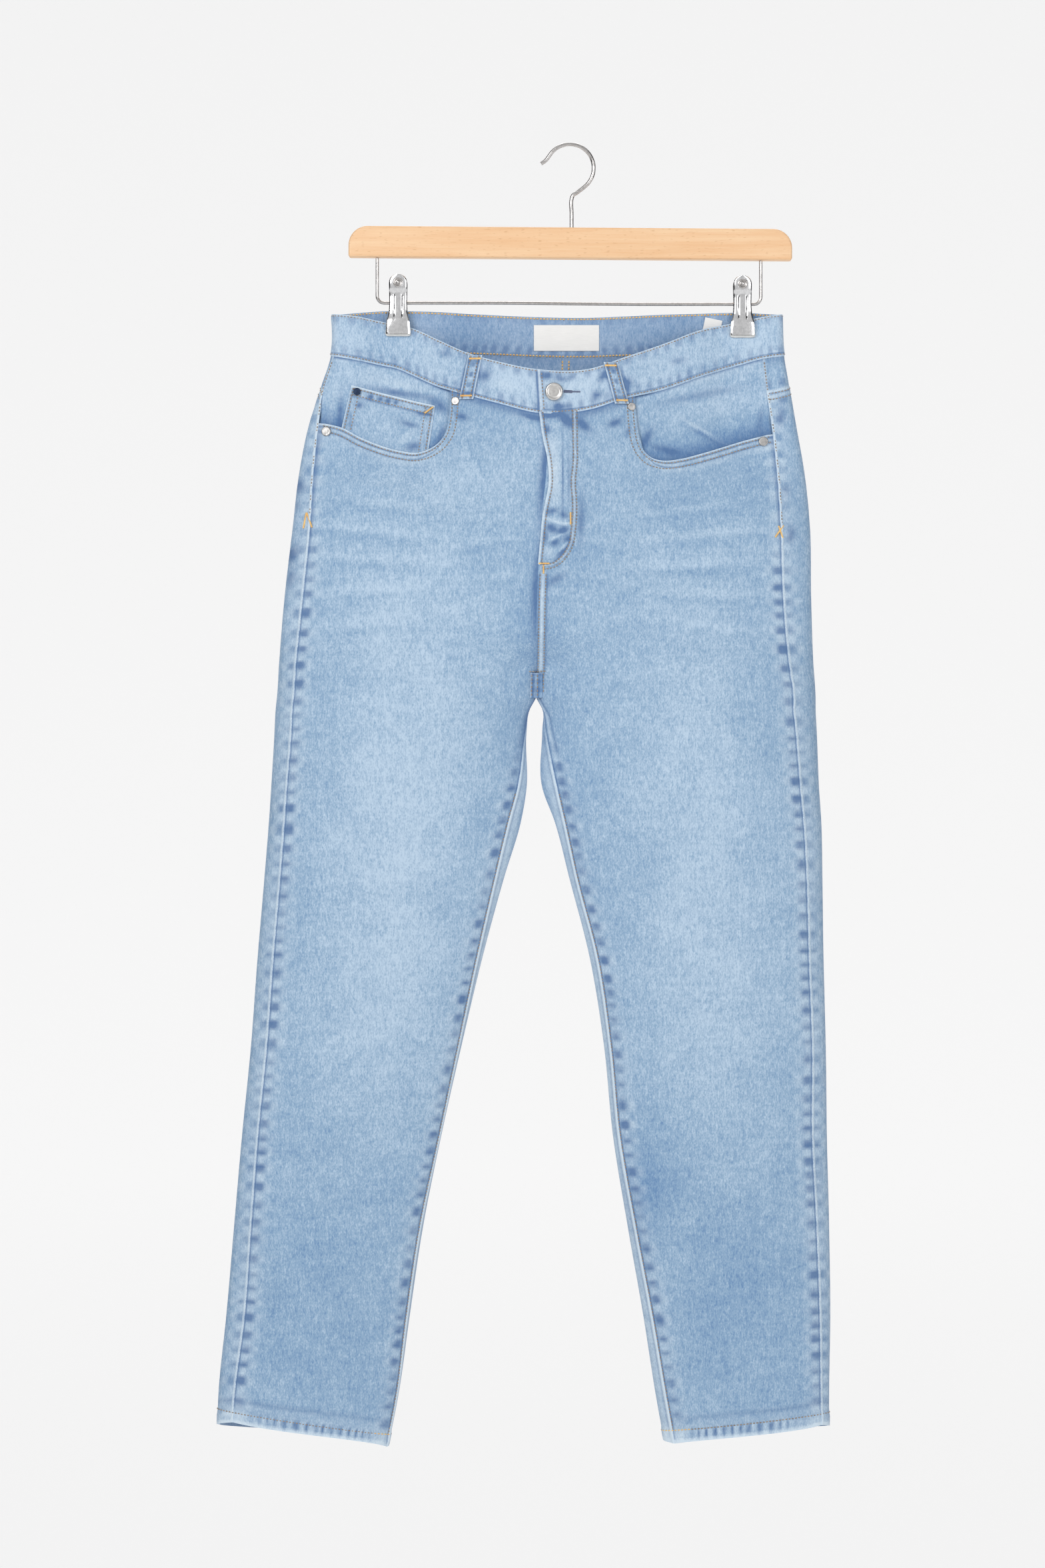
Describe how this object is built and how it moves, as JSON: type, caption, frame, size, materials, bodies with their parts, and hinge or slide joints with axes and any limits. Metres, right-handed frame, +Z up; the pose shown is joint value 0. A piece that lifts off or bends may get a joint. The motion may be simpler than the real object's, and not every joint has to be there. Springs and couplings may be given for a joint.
{
  "type": "mom jeans on a clip hanger",
  "caption": "High-waisted tapered mom jeans in light washed denim, buttoned and hanging open-legged by two sprung clips from a wooden trouser hanger with a wire hook.",
  "frame": {"origin": "the underside of the hanger's hook at the top of its bend, where a rail or a wall hook carries it", "axes": "+X to the right as the front is seen, the front faces -Y, +Z up"},
  "size_m": [0.545, 0.0786, 1.1588],
  "materials": {
    "denim": "light stone-washed blue stretch denim twill, paler where worn, darker beside the seams",
    "denim_facing": "the same denim, less worn, behind the front pocket mouths",
    "pocketing": "plain woven cotton tape",
    "label": "bare white woven satin label",
    "silver": "satin nickel trim",
    "chrome": "polished chrome-plated steel",
    "beech": "clear-lacquered beech, grain along the bar",
    "pad": "milky soft plastic grip pad"
  },
  "bodies": {
    "root": {"back_left": "denim", "back_pocket_left": "denim", "back_pocket_right": "denim", "back_right": "denim", "belt_loop_1": "denim", "belt_loop_2": "denim", "belt_loop_3": "denim", "belt_loop_4": "denim", "belt_loop_5": "denim", "button": "silver", "care_label": "label", "clip_left_back": "chrome", "clip_left_front": "chrome", "clip_pad_left_back": "pad", "clip_pad_left_front": "pad", "clip_pad_right_back": "pad", "clip_pad_right_front": "pad", "clip_right_back": "chrome", "clip_right_front": "chrome", "clip_rivet_left_back": "chrome", "clip_rivet_left_front": "chrome", "clip_rivet_right_back": "chrome", "clip_rivet_right_front": "chrome", "clip_spring_left": "chrome", "clip_spring_right": "chrome", "coin_pocket": "denim", "facing_left": "denim_facing", "facing_right": "denim_facing", "fly_shield": "denim", "front_left": "denim", "front_right": "denim", "hanger_bar": "beech", "hanger_hook": "chrome", "hanger_rod": "chrome", "main_label": "label", "rivet_coin": "silver", "rivet_left_side": "silver", "rivet_left_waist": "silver", "rivet_right_side": "silver", "rivet_right_waist": "silver", "waistband_left": "denim", "waistband_right": "denim", "yoke_left": "denim", "yoke_right": "denim", "zip_strip": "pocketing"}
  },
  "joints": []
}
